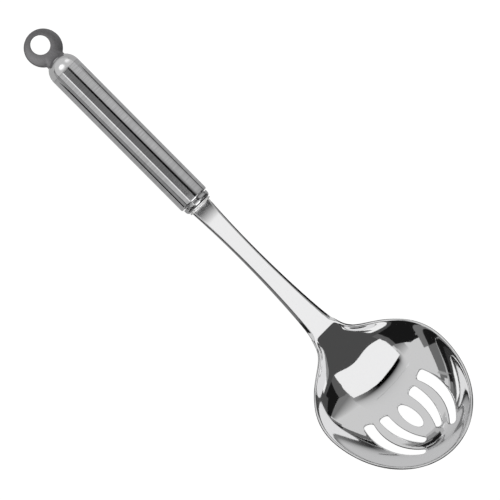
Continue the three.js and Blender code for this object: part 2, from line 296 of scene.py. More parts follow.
polishedSteel = steelMaterial("polishedSteel")
turnedSteel = steelMaterial("turnedSteel", anisotropy=0.3)
plugSteel = steelMaterial("plugSteel", anisotropy=0.3)
brushedSteel = steelMaterial("brushedSteel", anisotropy=0.85)
satinSteel = steelMaterial("satinSteel")
brazeMetal = steelMaterial("brazeMetal")
beddingResin = resinMaterial()
print("finishes made:", len(bpy.data.materials))


# Bowl and neck: one flat blank, pressed by a rule
blankSizes = {
    "tangWidth": 8.4, "tangReach": 34, "neckGap": 0.2,
    "neckWidthAtFerrule": 12, "neckWaistWidth": 9.7, "neckWaist": 35, "neckWidthAtBowl": 15.1,
    "neckLength": 93, "bowlWidest": 140, "bowlBack": 36.2, "bowlFront": 49, "bowlWidth": 79.9,
    "eggBlend": 8, "flareBlend": 4.7, "outlineStep": 0.75, "gridStep": 0.75, "gridClear": 0.6,
    "edgeLoops": (0, 0.05, 0.15, 0.3, 0.5, 0.75, 0.95, 1.1, 1.25, 1.5),
    "slotLoops": (0, 0.03, 0.12, 0.28, 0.5), "farFromEdge": 100.0,
    "centreSlot": {"start": 5, "end": 23.2, "width": 7.1}, "slotStartLength": 1.6,
    "slotPairs": (
        {"start": 3.4, "end": 31.4, "crest": 10.5, "offset": 11, "radius": 38, "width": 5.6,
         "tipWidth": 3.6},
        {"start": 1.1, "end": 37.2, "crest": 12.5, "offset": 20.9, "radius": 32, "width": 5.6,
         "tipWidth": 3.8},
    ),
}
pressSizes = {
    "Bowl Depth": 19.5 * mm, "Wall Fullness": 0.26, "Rim Pitch": math.radians(25), "Bend Length": 16 * mm,
    "Channel Half Width": 8.2 * mm, "Channel Flare": 14.8 * mm, "Channel Share": 0.25,
    "Channel Blend": 0.12, "Slide Pitch": math.radians(19), "Rim Softness": 0.8 * mm,
    "Underside Softness": 3 * mm, "Neck Thickness": 3 * mm, "Bowl Thickness": 1.4 * mm,
    "Thinning": 15 * mm, "Edge Share": 0.4, "Chamfer Width": 1.7 * mm, "Chamfer Slope": math.radians(40),
}
# the chamfer starts narrow, is widest just before the crease and fades past it; the underside's is smaller
chamferRun = {"narrow": 0.4, "fadeLength": 6 * mm, "fadeAtCrease": 0.35, "fade": 0.85, "blur": 0.12 * mm,
              "underside": 0.4}
ferruleAt = (ferruleFront - tubeBack) / mm     # along the blank, in mm
neckStart = ferruleAt + blankSizes["neckGap"]
waistAt = ferruleAt + blankSizes["neckWaist"]
flareAt = ferruleAt + blankSizes["neckLength"]
widestAt = ferruleAt + blankSizes["bowlWidest"]
tipAt = widestAt + blankSizes["bowlFront"]


def neckHalfWidth(along):
    towardsFerrule = along < waistAt
    reach = waistAt - neckStart if towardsFerrule else flareAt - waistAt
    endWidth = blankSizes["neckWidthAtFerrule"] if towardsFerrule else blankSizes["neckWidthAtBowl"]
    furthest = 1.2                             # the neck stops widening a little past the flare
    share = min((along - waistAt) / reach, furthest)
    waist = blankSizes["neckWaistWidth"]
    return (waist + (endWidth - waist) * share * share) / 2


def insideBlank(along, across):
    # positive inside the outline: neck and bowl run into each other in a soft flare
    lengthwise = along - widestAt
    frontShare = 1 / (1 + math.exp(-lengthwise / blankSizes["eggBlend"]))
    reach = blankSizes["bowlBack"] + (blankSizes["bowlFront"] - blankSizes["bowlBack"]) * frontShare
    half = blankSizes["bowlWidth"] / 2
    bowl = half * (1 - math.hypot(lengthwise / reach, across / half))
    if lengthwise > 0:
        return bowl
    neck = neckHalfWidth(along) - across
    larger = max(bowl, neck)
    blend = blankSizes["flareBlend"]
    return larger + blend * math.log(math.exp((bowl - larger) / blend) + math.exp((neck - larger) / blend))


def blankHalfWidth(along):
    # found by halving the range
    halvings = 40
    low = 0.0
    high = blankSizes["bowlWidth"]
    for _ in range(halvings):
        middle = (low + high) / 2
        if insideBlank(along, middle) > 0:
            low = middle
        else:
            high = middle
    return low


def evenSteps(points, step):
    # the same line with points a step apart
    lengths = [0.0]
    for a, b in zip(points, points[1:]):
        lengths.append(lengths[-1] + (b - a).length)
    count = max(2, round(lengths[-1] / step))
    result = []
    k = 0
    for i in range(count + 1):
        target = lengths[-1] * i / count
        while k < len(points) - 2 and lengths[k + 1] < target:
            k += 1
        span = lengths[k + 1] - lengths[k]
        share = (target - lengths[k]) / span if span else 0.0
        result.append(points[k].lerp(points[k + 1], min(share, 1.0)))
    return result


def inwardNormals(points, closed):
    # unit vectors to the right of the way that the line runs
    normals = []
    for i in range(len(points)):
        before = points[i - 1] if closed or i else points[0]
        after = points[(i + 1) % len(points)] if closed or i < len(points) - 1 else points[-1]
        way = (after - before).normalized()
        normals.append(Vector((way.y, -way.x)))
    return normals


def mirrored(line):
    return [Vector((p.x, -p.y)) for p in reversed(line)]


def bowlOutline():
    # half outline from the neck's end to the tip, on the +Y side
    bowlBackAt = widestAt - blankSizes["bowlBack"]
    fine = 600
    dense = [Vector((neckStart + (bowlBackAt - neckStart) * i / fine, 0.0)) for i in range(fine)]
    middle = (tipAt + bowlBackAt) / 2
    reach = (tipAt - bowlBackAt) / 2
    dense += [Vector((middle - reach * math.cos(math.pi * i / fine), 0.0)) for i in range(fine + 1)]
    for point in dense:
        point.y = blankHalfWidth(point.x)
    dense[-1].y = 0.0
    return evenSteps(dense, blankSizes["outlineStep"])


def turnsOf(count):
    return [2 * math.pi * i / count for i in range(count)]


def centreSlot():
    slot = blankSizes["centreSlot"]
    middle = widestAt + (slot["start"] + slot["end"]) / 2
    halfLength = (slot["end"] - slot["start"]) / 2
    halfWidth = slot["width"] / 2
    steps = 96
    return [Vector((middle + halfLength * math.cos(t), halfWidth * math.sin(t))) for t in turnsOf(steps)]


def curvedSlot(pair):
    # a slot along an arc, with a blunt start and a round tip; runs clockwise on the +Y side
    centreX = widestAt + pair["crest"]
    centreY = pair["offset"] - pair["radius"]
    blunt = blankSizes["slotStartLength"]
    fromAngle = math.asin((pair["start"] + blunt - pair["crest"]) / pair["radius"])
    toAngle = math.asin((pair["end"] - pair["tipWidth"] / 2 - pair["crest"]) / pair["radius"])
    sideSteps = 60
    endSteps = 24

    def spot(angle, out):
        far = pair["radius"] + out
        return Vector((centreX + far * math.sin(angle), centreY + far * math.cos(angle)))

    def halfAt(share):
        return (pair["width"] + (pair["tipWidth"] - pair["width"]) * share * share) / 2

    def roundEnd(angle, half, length):
        along = Vector((math.cos(angle), -math.sin(angle)))
        out = Vector((math.sin(angle), math.cos(angle)))
        for i in range(1, endSteps):
            around = math.pi * i / endSteps
            yield spot(angle, 0) + half * math.cos(around) * out + length * math.sin(around) * along

    shares = [i / sideSteps for i in range(sideSteps + 1)]
    dense = [spot(fromAngle + (toAngle - fromAngle) * s, halfAt(s)) for s in shares]
    dense += roundEnd(toAngle, halfAt(1), halfAt(1))
    dense += [spot(fromAngle + (toAngle - fromAngle) * s, -halfAt(s)) for s in reversed(shares)]
    dense += roundEnd(fromAngle, -halfAt(0), -blunt)
    return dense


def slotOutlines():
    def closedSteps(dense):
        return evenSteps(dense + [dense[0]], blankSizes["outlineStep"])[:-1]

    outlines = [closedSteps(centreSlot())]
    for pair in blankSizes["slotPairs"]:
        line = closedSteps(curvedSlot(pair))
        outlines += [line, mirrored(line)]
    return outlines


def insidePolygon(point, polygon):
    inside = False
    for a, b in zip(polygon, polygon[1:] + polygon[:1]):
        if (a.y > point.y) != (b.y > point.y):
            if point.x < a.x + (point.y - a.y) / (b.y - a.y) * (b.x - a.x):
                inside = not inside
    return inside


def areaOf(polygon):
    return sum(a.x * b.y - b.x * a.y for a, b in zip(polygon, polygon[1:] + polygon[:1])) / 2


def flatBlank():
    half = bowlOutline()
    normals = inwardNormals(half, closed=False)
    normals[0] = Vector((0, -1))
    normals[-1] = Vector((-1, 0))
    points = []
    insets = []
    edges = []

    def addLine(line, inset, closed):
        first = len(points)
        points.extend(line)
        insets.extend([inset] * len(line))
        edges.extend((first + i, first + i + 1) for i in range(len(line) - 1))
        if closed:
            edges.append((len(points) - 1, first))

    tangHalf = blankSizes["tangWidth"] / 2
    tangEnd = ferruleAt - blankSizes["tangReach"]
    for inset in blankSizes["edgeLoops"]:
        upper = [p + n * inset for p, n in zip(half, normals)]
        line = upper + mirrored(upper[:-1])
        if inset == 0:
            tang = [(neckStart, -tangHalf), (tangEnd, -tangHalf), (tangEnd, tangHalf), (neckStart, tangHalf)]
            outline = line + [Vector(corner) for corner in tang]
            addLine(outline, inset, True)
        else:
            addLine(line, inset, False)
    slots = slotOutlines()
    slotRims = []
    for slot in slots:
        side = -1 if areaOf(slot) < 0 else 1
        outward = inwardNormals(slot, closed=True)
        for inset in blankSizes["slotLoops"]:
            rim = [p + n * (inset * side) for p, n in zip(slot, outward)]
            addLine(rim, inset, True)
        slotRims.append(rim)
    # a square grid fills the rest
    near = KDTree(len(points))
    for i, p in enumerate(points):
        near.insert((p.x, p.y, 0), i)
    near.balance()
    step = blankSizes["gridStep"]
    clear = blankSizes["gridClear"] * step
    along = tangEnd + step
    while along < tipAt:
        room = blankHalfWidth(along) - blankSizes["edgeLoops"][-1] if along > neckStart else tangHalf
        count = int((room - clear) / step + 0.5)
        for j in range(-count, count + 1):
            spot = Vector((along, j * step))
            if abs(spot.y) > room - clear or near.find((spot.x, spot.y, 0))[2] < clear:
                continue
            if any(insidePolygon(spot, rim) for rim in slotRims):
                continue
            points.append(spot)
            insets.append(blankSizes["farFromEdge"])
        along += step
    insideOnly = 1
    closeness = 1e-5
    found, _, faces, origins, _, _ = delaunay_2d_cdt(points, edges, [], insideOnly, closeness)
    middleOf = [sum((found[i] for i in face), Vector((0, 0))) / len(face) for face in faces]
    kept = [face for face, m in zip(faces, middleOf)
            if insidePolygon(m, outline) and not any(insidePolygon(m, slot) for slot in slots)]
    blank = newObject("bowlAndNeck", [(p.x * mm, p.y * mm, 0) for p in found], faces=kept)
    mesh = blank.data
    place = mesh.attributes.new("blankPlace", "FLOAT_VECTOR", "POINT")
    place.data.foreach_set("vector", [c for p in found for c in (p.x * mm, p.y * mm, 0.0)])
    edge = mesh.attributes.new("edgeInset", "FLOAT", "POINT")
    edge.data.foreach_set("value", [insets[o[0]] * mm if o else 0.0 for o in origins])
    work = bmesh.new()
    work.from_mesh(mesh)
    bmesh.ops.recalc_face_normals(work, faces=work.faces)
    if sum(face.normal.z for face in work.faces) < 0:
        bmesh.ops.reverse_faces(work, faces=work.faces)
    bmesh.ops.join_triangles(work, faces=work.faces, angle_face_threshold=0.1, angle_shape_threshold=0.35)
    work.to_mesh(mesh)
    work.free()
    print("flat blank:", len(mesh.vertices), "points,", len(mesh.polygons), "faces")
    return blank


placeInputs = ("Along", "Across", "Softness", "Widest", "Bowl Back", "Bowl Front", "Bowl Width", "Egg Blend",
               "Bowl Depth", "Wall Fullness", "Channel Half Width", "Channel Flare", "Channel Share",
               "Channel Blend", "Crease At", "Slide Pitch", "Rim Pitch", "Bend Length", "Bend At",
               "Neck Thickness")
pressInputs = placeInputs[3:]                  # the sizes among them, alike for every place


def pressedPlaceGroup():
    # where a place on the flat blank ends up on the upper face of the pressing
    group, given, result = newGroup("pressedPlace", "GeometryNodeTree", dict.fromkeys(placeInputs, "Float"),
                                    {"Position": "Vector"})
    (along, across, softness, widest, back, front, width, eggBlend, bowlDepth, fullness, channelHalf,
     channelFlare, channelShare, channelBlend, crease, slidePitch, rimPitch, bendLength, bendAt,
     neckThickness) = given.values()
    lengthwise = along - widest
    far = lengthwise / (back + (front - back) * sigmoidOf(lengthwise / eggBlend))
    half = width / 2
    # depth along the middle and curve across it; behind the widest line the dish runs on into the neck
    middle = 1.0 - far * far
    curve = 1.0 / (half * half)
    wide = softLarger(middle * half * half, channelHalf * channelHalf, channelFlare * channelFlare)
    deep = softLarger(middle, channelShare, channelBlend)
    behind = lengthwise.done("LESS_THAN", 0.0)
    middle = middle + (deep - middle) * behind
    curve = curve + (deep / wide - curve) * behind
    inside = middle - across * across * curve
    dish = bowlDepth * inside * (1.0 + fullness * (1.0 - inside))
    pastBend = along - bendAt
    straight = (pastBend - bendLength / 2).done("MAXIMUM", 0.0)
    angle = (pastBend / bendLength + 0.5).clamped() * rimPitch
    radius = bendLength / rimPitch
    flatEnd = along.done("MINIMUM", bendAt - bendLength / 2)
    lineX = flatEnd + radius * angle.done("SINE") + straight * rimPitch.done("COSINE")
    rise = radius * (1.0 - angle.done("COSINE")) + straight * rimPitch.done("SINE")
    # the dish is entered from the neck by a straight slide that starts at the crease
    floorSoftness = 0.3                        # as a share of the softness given
    fall = slidePitch.done("TANGENT")
    slide = (rise + fall * (lineX - crease)) / (angle.done("COSINE") - fall * angle.done("SINE"))
    zero = across * 0.0
    floor = softLarger(slide, zero, softness * floorSoftness)
    wall = softLarger(dish, zero, softness) + (crease - along).done("MAXIMUM", 0.0)
    depth = zero - softLarger(zero - wall, zero - floor, softness)
    feed(group, result[0], outOf(group, "ShaderNodeCombineXYZ", {
        0: lineX + depth * angle.done("SINE"), 1: across,
        2: neckThickness / 2 + rise - depth * angle.done("COSINE")}))
    return group


def pressTree():
    sizes = (*pressInputs, "Rim Softness", "Underside Softness", "Bowl Thickness", "Thinning", "Edge Share",
             "Chamfer Width", "Chamfer Slope")
    tree, given, result = geometryTree("pressedBlank", {**dict.fromkeys(sizes, "Float"), "Origin": "Vector"})
    group = pressedPlaceGroup()
    place = outOf(tree, "GeometryNodeInputNamedAttribute", {"Name": "blankPlace"}, data_type="FLOAT_VECTOR")
    along, across, _ = partsOf(tree, place)
    inset = term(tree, outOf(tree, "GeometryNodeInputNamedAttribute", {"Name": "edgeInset"},
                             data_type="FLOAT"))
    nudge = 0.05 * mm

    def pressed(alongThere, acrossThere, softness):
        feeds = {label: given[label] for label in pressInputs}
        feeds.update({"Along": alongThere, "Across": acrossThere, "Softness": given[softness]})
        return outOf(tree, "GeometryNodeGroup", feeds, node_tree=group)

    def slope(alongStep, acrossStep):
        ahead = pressed(along + alongStep, across + acrossStep, "Underside Softness")
        before = pressed(along - alongStep, across - acrossStep, "Underside Softness")
        return vectorMath(tree, "SUBTRACT", ahead, before)

    # the sheet's direction square to its face, from a softened form of the pressing
    crossed = vectorMath(tree, "CROSS_PRODUCT", slope(nudge, 0.0), slope(0.0, nudge))
    square = vectorMath(tree, "NORMALIZE", crossed)

    # the sheet thins from neck to bowl, and its edges are rounded in step with its thickness
    thinning = given["Thinning"]
    share = (along - given["Widest"] + given["Bowl Back"] + thinning) / (thinning * 2.0)
    share = share.clamped()
    share = share * share * (3.0 - 2.0 * share)
    thickness = given["Neck Thickness"] + (given["Bowl Thickness"] - given["Neck Thickness"]) * share
    edgeRadius = thickness * given["Edge Share"]
    close = (1.0 - inset / edgeRadius).done("MAXIMUM", 0.0)
    rounded = edgeRadius * (1.0 - (1.0 - close * close).done("SQRT"))
    crease = given["Crease At"]
    widening = (along / crease * 2.0 - 1.0).clamped()
    fading = ((along - crease) / chamferRun["fadeLength"] + chamferRun["fadeAtCrease"]).clamped()
    chamferWidth = given["Chamfer Width"] * (chamferRun["narrow"] + (1 - chamferRun["narrow"]) * widening)
    chamferWidth = chamferWidth * (1.0 - fading * chamferRun["fade"])
    largestPower = 30.0                        # keeps the exponent from running over
    overlap = ((chamferWidth - inset) / chamferRun["blur"]).done("MINIMUM", largestPower)
    chamfer = (1.0 + overlap.done("EXPONENT")).done("LOGARITHM", math.e) * chamferRun["blur"]
    chamfer = chamfer * given["Chamfer Slope"].done("TANGENT")
    rounding = chamfer + (rounded - chamfer) * share * share
    lowRounding = rounding * (chamferRun["underside"] + (1 - chamferRun["underside"]) * share)

    upper = vectorMath(tree, "ADD", pressed(along, across, "Rim Softness"), given["Origin"])
    topSpot = vectorMath(tree, "SUBTRACT", upper, scaled(tree, square, rounding))
    lowSpot = vectorMath(tree, "SUBTRACT", upper, scaled(tree, square, thickness - lowRounding))

    blank = given["Geometry"]
    top = outOf(tree, "GeometryNodeSetPosition", {"Geometry": blank, "Position": topSpot})
    shell = nodeIn(tree, "GeometryNodeExtrudeMesh", {"Mesh": blank, "Offset Scale": 0.0, "Individual": False},
                   mode="FACES")
    rim = outOf(tree, "GeometryNodeSetPosition", {"Geometry": shell.outputs["Mesh"], "Position": topSpot})
    under = outOf(tree, "GeometryNodeSetPosition", {
        "Geometry": rim, "Selection": shell.outputs["Top"], "Position": lowSpot})
    turnedOver = outOf(tree, "GeometryNodeFlipFaces", {0: under})
    both = nodeIn(tree, "GeometryNodeJoinGeometry")
    for side in (top, turnedOver):
        tree.links.new(side, both.inputs[0])
    return endTree(tree, weldedIn(tree, both.outputs[0]), given, result)


def bendPlace():
    # the bend lies where the rim's pitch, run back from the tip's height, meets the neck
    pitch = pressSizes["Rim Pitch"]
    bendRadius = pressSizes["Bend Length"] / pitch
    rise = headTop - axisHeight - pressSizes["Neck Thickness"] / 2
    rise += pressSizes["Rim Softness"] * math.log(2) * math.cos(pitch) - bendRadius * (1 - math.cos(pitch))
    return tipAt * mm - rise / math.sin(pitch) - pressSizes["Bend Length"] / 2


def buildBowlAndNeck():
    blank = flatBlank()
    values = {**pressSizes, "Crease At": flareAt * mm, "Bend At": bendPlace(), "Widest": widestAt * mm,
              "Origin": (tubeBack, 0.0, axisHeight), "Material": polishedSteel}
    for label, key in (("Bowl Back", "bowlBack"), ("Bowl Front", "bowlFront"), ("Bowl Width", "bowlWidth"),
                       ("Egg Blend", "eggBlend")):
        values[label] = blankSizes[key] * mm
    runTree(blank, pressTree(), values)
    makePlain(blank, sharpAngle=50, recalc=False)
    for name in ("blankPlace", "edgeInset"):
        blank.data.attributes.remove(blank.data.attributes[name])
    finishPiece(blank, "bowl_and_neck", polishedSteel)


buildBowlAndNeck()


# Turned pieces: a profile spun round the handle's axis
def latheTree():
    tree, given, result = geometryTree("turnedPiece", {
        "Profile Points": "Int", "Steps Round": "Int", "Axis Height": "Float"})
    around = given["Steps Round"]
    grid = outOf(tree, "GeometryNodeMeshGrid", {
        "Vertices X": given["Profile Points"], "Vertices Y": around + 1.0})
    index = term(tree, outOf(tree, "GeometryNodeInputIndex"))
    row = ((index + 0.5) / (around + 1.0)).done("FLOOR")
    angle = (index - row * (around + 1.0)) / around * (2 * math.pi)
    sample = outOf(tree, "GeometryNodeSampleIndex", {
        "Geometry": given["Geometry"], "Value": outOf(tree, "GeometryNodeInputPosition"), "Index": row},
        data_type="FLOAT_VECTOR", domain="POINT")
    along, radius, _ = partsOf(tree, sample)
    spot = outOf(tree, "ShaderNodeCombineXYZ", {
        0: along, 1: radius * angle.done("COSINE"), 2: radius * angle.done("SINE") + given["Axis Height"]})
    spun = outOf(tree, "GeometryNodeSetPosition", {"Geometry": grid, "Position": spot})
    return endTree(tree, weldedIn(tree, spun), given, result)


turnedPiece = latheTree()
turnedLook = {"stepsRound": 160, "sharpAngle": 35}


def arc(centreX, centreRadius, radius, fromDegrees, toDegrees, steps):
    # points of an arc in the profile, as (x, radius)
    angles = [math.radians(fromDegrees + (toDegrees - fromDegrees) * i / steps) for i in range(steps + 1)]
    return [(centreX + radius * math.cos(a), centreRadius + radius * math.sin(a)) for a in angles]


def spin(name, profile, material):
    piece = newObject(name, [(x, r, 0.0) for x, r in profile])
    runTree(piece, turnedPiece, {"Profile Points": len(profile), "Steps Round": turnedLook["stepsRound"],
                                 "Axis Height": axisHeight, "Material": material})
    makePlain(piece, turnedLook["sharpAngle"])
    return piece


def cutSlot(piece, back, front, width, height):
    # mills a rectangular slot along the axis, with a clearance round what goes into it
    halfWidth = width / 2 + ringSizes["slotGap"]
    halfHeight = height / 2 + ringSizes["slotGap"]
    corners = [(x, y, z) for x in (back, front) for y in (-halfWidth, halfWidth)
               for z in (axisHeight - halfHeight, axisHeight + halfHeight)]
    faces = [(0, 1, 3, 2), (4, 6, 7, 5), (0, 4, 5, 1), (2, 3, 7, 6), (0, 2, 6, 4), (1, 5, 7, 3)]
    tool = newObject("slotTool", corners, faces=faces)
    cutting = piece.modifiers.new("slot", "BOOLEAN")
    cutting.operation = "DIFFERENCE"
    cutting.solver = "EXACT"
    cutting.object = tool
    makePlain(piece, turnedLook["sharpAngle"])
    bpy.data.objects.remove(tool)


tubeSizes = {"wall": 1 * mm, "mouthBevel": 0.9 * mm, "mouthDrop": 0.5 * mm, "edge": 0.12 * mm,
             "hold": 0.15 * mm, "stations": 24}


def buildHandleTube():
    bore = tubeRadius - tubeSizes["wall"]
    edge = tubeSizes["edge"]
    stations = tubeSizes["stations"]
    bevel = tubeSizes["mouthBevel"]
    fall = tubeSizes["mouthDrop"]
    hold = tubeSizes["hold"]                   # lines close to a corner keep the shading flat up to it
    bodyEnd = tubeFront - bevel
    bodyStart = tubeBack + edge
    profile = [(tubeBack, bore)]
    profile += arc(bodyStart, tubeRadius - edge, edge, 180, 90, steps=4)
    profile.append((bodyStart + hold, tubeRadius))
    profile += [(bodyStart + (bodyEnd - bodyStart) * i / stations, tubeRadius) for i in range(1, stations)]
    profile += [(bodyEnd - hold, tubeRadius), (bodyEnd, tubeRadius)]
    turn = (bevel ** 2 + fall ** 2) / (2 * fall)
    end = 90 - math.degrees(math.asin(bevel / turn))
    profile += arc(bodyEnd, tubeRadius - turn, turn, 90, end, steps=8)[1:]
    profile += [(tubeFront, bore), (tubeBack, bore)]
    tube = spin("handleTube", profile, brushedSteel)
    finishPiece(tube, "handle_tube", brushedSteel)


buildHandleTube()

capSizes = {"spigot": 8 * mm, "spigotGap": 0.2 * mm, "seam": 0.03 * mm}
ringSizes = {"diameter": 20.7 * mm, "hole": 10.6 * mm, "holeOffset": 2.2 * mm, "thickness": 2 * mm,
             "tangWidth": 11.6 * mm, "tangDepth": 6.7 * mm, "centreFromNose": 7.7 * mm, "edge": 0.3 * mm,
             "slotGap": 0.1 * mm, "roundSteps": 120, "sideSteps": 6, "endSteps": 8}
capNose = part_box("end_cap")[0].x
spigotRadius = tubeRadius - tubeSizes["wall"] - capSizes["spigotGap"]
cutOver = 1 * mm                               # how far a slot's cut runs past the metal


def buildEndCap():
    face = tubeBack - capSizes["seam"]
    spigotEnd = tubeBack + capSizes["spigot"]
    profile = arc(capNose + tubeRadius, 0.0, tubeRadius, 180, 90, steps=48)
    profile[0] = (capNose, 0.0)
    profile += [(face, tubeRadius), (face, spigotRadius), (spigotEnd, spigotRadius), (spigotEnd, 0.0)]
    cap = spin("endCap", profile, turnedSteel)
    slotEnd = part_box("ring_braze")[1].x + 2 * ringSizes["slotGap"]
    cutSlot(cap, capNose - cutOver, slotEnd, ringSizes["tangWidth"], ringSizes["thickness"])
    finishPiece(cap, "end_cap", turnedSteel)


buildEndCap()

ferruleSizes = {"length": 3.4 * mm, "corner": 2.1 * mm, "spigot": 12 * mm, "groove": 0.5 * mm,
                "grooveDepth": 0.9 * mm, "diameter": 16.1 * mm, "edge": 0.15 * mm}


def buildFrontFerrule():
    radius = ferruleSizes["diameter"] / 2
    corner = ferruleSizes["corner"]
    edge = ferruleSizes["edge"]
    back = ferruleFront - ferruleSizes["length"]
    bottom = min(radius, spigotRadius) - ferruleSizes["grooveDepth"]
    grooveBack = back - ferruleSizes["groove"]
    spigotBack = grooveBack - ferruleSizes["spigot"]
    profile = [(spigotBack, 0.0), (spigotBack, spigotRadius), (grooveBack, spigotRadius),
               (grooveBack, bottom), (back, bottom)]
    profile += arc(back + edge, radius - edge, edge, 180, 90, steps=4)
    profile += arc(ferruleFront - corner, radius - corner, corner, 90, 0, steps=14)
    profile.append((ferruleFront, 0.0))
    ferrule = spin("frontFerrule", profile, plugSteel)
    cutSlot(ferrule, spigotBack - cutOver, ferruleFront + cutOver, blankSizes["tangWidth"] * mm,
            pressSizes["Neck Thickness"])
    finishPiece(ferrule, "front_ferrule", plugSteel)


buildFrontFerrule()


# Hanging ring: a flat stamping with an eccentric hole and a square tang
def ringOutline(centreX):
    radius = ringSizes["diameter"] / 2
    half = ringSizes["tangWidth"] / 2
    tangEnd = capNose + ringSizes["tangDepth"]
    roundSteps = ringSizes["roundSteps"]
    sideSteps = ringSizes["sideSteps"]
    endSteps = ringSizes["endSteps"]
    shoulder = math.asin(half / radius)
    sideStart = centreX + radius * math.cos(shoulder)
    side = [tangEnd + (sideStart - tangEnd) * i / sideSteps for i in range(sideSteps + 1)]
    sweep = [shoulder + (2 * math.pi - 2 * shoulder) * i / roundSteps for i in range(1, roundSteps)]
    outer = [(tangEnd, half * (2 * i / endSteps - 1)) for i in range(1, endSteps)]
    outer += [(x, half) for x in side]
    outer += [(centreX + radius * math.cos(a), radius * math.sin(a)) for a in sweep]
    outer += [(x, -half) for x in reversed(side)]
    return outer


def buildHangingRing():
    centreX = capNose - ringSizes["centreFromNose"]
    holeX = centreX - ringSizes["holeOffset"]
    bore = ringSizes["hole"] / 2
    outer = ringOutline(centreX)
    points = []
    for z in (axisHeight - ringSizes["thickness"] / 2, axisHeight + ringSizes["thickness"] / 2):
        points += [(x, y, z) for x, y in outer]
        for x, y in outer:
            away = Vector((x - holeX, y)).normalized() * bore
            points.append((holeX + away.x, away.y, z))
    count = len(outer)
    high = 2 * count
    faces = []
    for i in range(count):
        j = (i + 1) % count
        faces.append((i, count + i, count + j, j))
        faces.append((high + i, high + j, high + count + j, high + count + i))
        faces.append((i, j, high + j, high + i))
        faces.append((count + j, count + i, high + count + i, high + count + j))
    ring = newObject("hangingRing", points, faces=faces)
    bevel = ring.modifiers.new("edges", "BEVEL")
    bevel.width = ringSizes["edge"]
    bevel.segments = 3
    bevel.limit_method = "ANGLE"
    bevel.angle_limit = math.radians(40)
    bevel.use_clamp_overlap = False
    makePlain(ring, sharpAngle=40)
    finishPiece(ring, "hanging_ring", satinSteel)


buildHangingRing()

# Braze bead that follows the neck round at the ferrule
beadSizes = {"corner": 0.8 * mm, "cornerPoints": 8, "pathPoints": 200, "sectionPoints": 20}


def beadTree():
    tree, given, result = geometryTree("brazeBead", {
        "Width": "Float", "Height": "Float", "Corner": "Float", "Bead Radius": "Float", "Centre": "Vector"})
    path = outOf(tree, "GeometryNodeCurvePrimitiveQuadrilateral", {
        "Width": given["Height"], "Height": given["Width"]})
    corners = outOf(tree, "GeometryNodeFilletCurve", {
        "Curve": path, "Radius": given["Corner"], "Count": beadSizes["cornerPoints"]}, mode="POLY")
    even = outOf(tree, "GeometryNodeResampleCurve", {"Curve": corners, "Count": beadSizes["pathPoints"]})
    section = outOf(tree, "GeometryNodeCurvePrimitiveCircle", {
        "Radius": given["Bead Radius"], "Resolution": beadSizes["sectionPoints"]})
    swept = outOf(tree, "GeometryNodeCurveToMesh", {"Curve": even, "Profile Curve": section})
    # the path is drawn flat, then stood up square to the neck
    stood = outOf(tree, "GeometryNodeTransform", {
        "Geometry": swept, "Rotation": (0.0, math.pi / 2, 0.0), "Translation": given["Centre"]})
    return endTree(tree, stood, given, result)


def buildNeckBraze():
    bead = newObject("neckBraze", [(0.0, 0.0, 0.0)])
    radius = (brazeHigh.x - brazeLow.x) / 2
    runTree(bead, beadTree(), {
        "Width": brazeHigh.y - brazeLow.y - 2 * radius,
        "Height": brazeHigh.z - brazeLow.z - 2 * radius,
        "Corner": beadSizes["corner"], "Bead Radius": radius,
        "Centre": ((brazeLow.x + brazeHigh.x) / 2, 0.0, axisHeight),
        "Material": brazeMetal})
    makePlain(bead, sharpAngle=60)
    finishPiece(bead, "neck_braze", brazeMetal)


buildNeckBraze()

# Pieces out of sight keep their solids and get their own finish
for node, material in (("ring_braze", brazeMetal), ("tang_bedding", beddingResin)):
    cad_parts[node].data.materials.clear()
    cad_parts[node].data.materials.append(material)
print("hidden pieces finished")


# Camera, at the photograph's angle
view = {"leanAlong": 2.0, "leanAcross": 8.616, "turn": 45.157, "metresPerPixel": 0.0005294, "distance": 1.5,
        "aimFromTube": 0.125, "aimPixel": (232.74, 238.456), "frameSize": 500}


def buildCamera():
    lean = [math.tan(math.radians(view[way])) for way in ("leanAlong", "leanAcross")]
    back = Vector((-lean[0], -lean[1], 1.0)).normalized()
    along = Vector((1, 0, 0))
    along = (along - back * along.dot(back)).normalized()
    across = back.cross(along)
    turn = math.radians(view["turn"])
    right = along * math.cos(turn) + across * math.sin(turn)
    up = across * math.cos(turn) - along * math.sin(turn)
    aim = Vector((tubeBack + view["aimFromTube"], 0, axisHeight))
    middle = view["frameSize"] / 2
    aim += right * ((middle - view["aimPixel"][0]) * view["metresPerPixel"])
    aim -= up * ((middle - view["aimPixel"][1]) * view["metresPerPixel"])
    lens = bpy.data.cameras.new("studioCamera")
    lens.sensor_width = 36.0
    lens.lens = lens.sensor_width * view["distance"] / (view["frameSize"] * view["metresPerPixel"])
    lens.clip_end = 20.0
    camera = bpy.data.objects.new("studioCamera", lens)
    camera.matrix_world = Matrix((
        (right.x, up.x, back.x, 0), (right.y, up.y, back.y, 0), (right.z, up.z, back.z, 0), (0, 0, 0, 1)))
    camera.location = aim + back * view["distance"]
    scene.collection.objects.link(camera)
    scene.camera = camera


buildCamera()


# Studio: a pale floor in a white room, and glowing cards that the camera doesn't see. Their places are along
# and across from the tube's back end, and up from the handle's axis
studio = {"floorGlow": 0.93, "floorInMetal": 0.35, "floorTone": 0.25, "floorSize": 4.0, "roomGlow": 0.6,
          "roomSeen": 1.0}
room = {"back": -6.0, "front": 2.0, "left": 3.1, "right": -1.35, "foot": -0.009, "top": 0.45}
black = 0.01
paper = 0.67
white = 1.0


